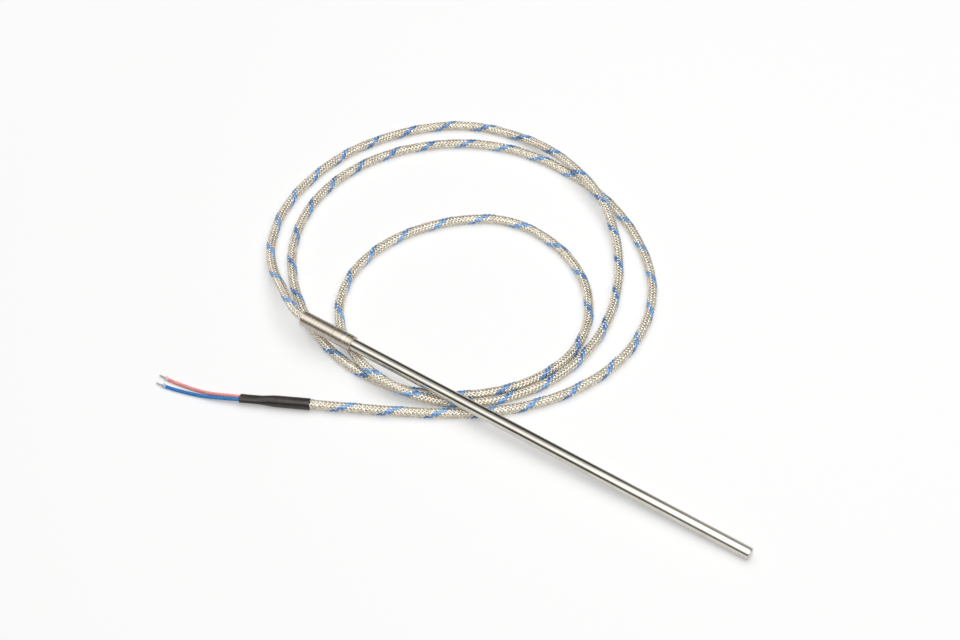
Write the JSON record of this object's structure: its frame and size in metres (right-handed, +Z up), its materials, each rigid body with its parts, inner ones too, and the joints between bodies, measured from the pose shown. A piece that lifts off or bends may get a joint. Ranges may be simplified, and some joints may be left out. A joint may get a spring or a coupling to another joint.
{
  "type": "thermocouple probe",
  "caption": "Closed-end metal sheath with a turned transition sleeve, a coiled braided lead and stripped red and blue cores, for measuring temperature.",
  "frame": {"origin": "on the floor under the middle of the sheath and sleeve, lead left out", "axes": "+X along the sheath from the sleeve towards the closed tip, +Z up from the floor, +Y towards the coiled lead"},
  "size_m": [0.3133, 0.2491, 0.016],
  "materials": {
    "sheath_steel": "polished",
    "sleeve_steel": "turned",
    "junction_metal": "as welded",
    "positive_metal": "drawn wire",
    "negative_metal": "drawn wire",
    "splice_metal": "plated",
    "potting": "cast resin",
    "ceramic": "fired ceramic",
    "core_red": "extruded",
    "core_blue": "extruded",
    "cable_braid": "braided metal wire with a blue tracer",
    "shrink_black": "shrunk sleeve"
  },
  "bodies": {
    "root": {"sheath_tube": "sheath_steel", "transition_sleeve": "sleeve_steel", "hot_junction": "junction_metal", "positive_leg": "positive_metal", "negative_leg": "negative_metal", "positive_conductor_front": "positive_metal", "negative_conductor_front": "negative_metal", "positive_conductor_tail": "positive_metal", "negative_conductor_tail": "negative_metal", "positive_splice": "splice_metal", "negative_splice": "splice_metal", "potting_plug": "potting", "positive_core_front": "core_red", "positive_core_tail": "core_red", "negative_core_front": "core_blue", "negative_core_tail": "core_blue", "lead_cable": "cable_braid", "heat_shrink_sleeve": "shrink_black", "ceramic_insulator_1": "ceramic", "ceramic_insulator_2": "ceramic", "ceramic_insulator_3": "ceramic", "ceramic_insulator_4": "ceramic", "ceramic_insulator_5": "ceramic"}
  },
  "joints": []
}
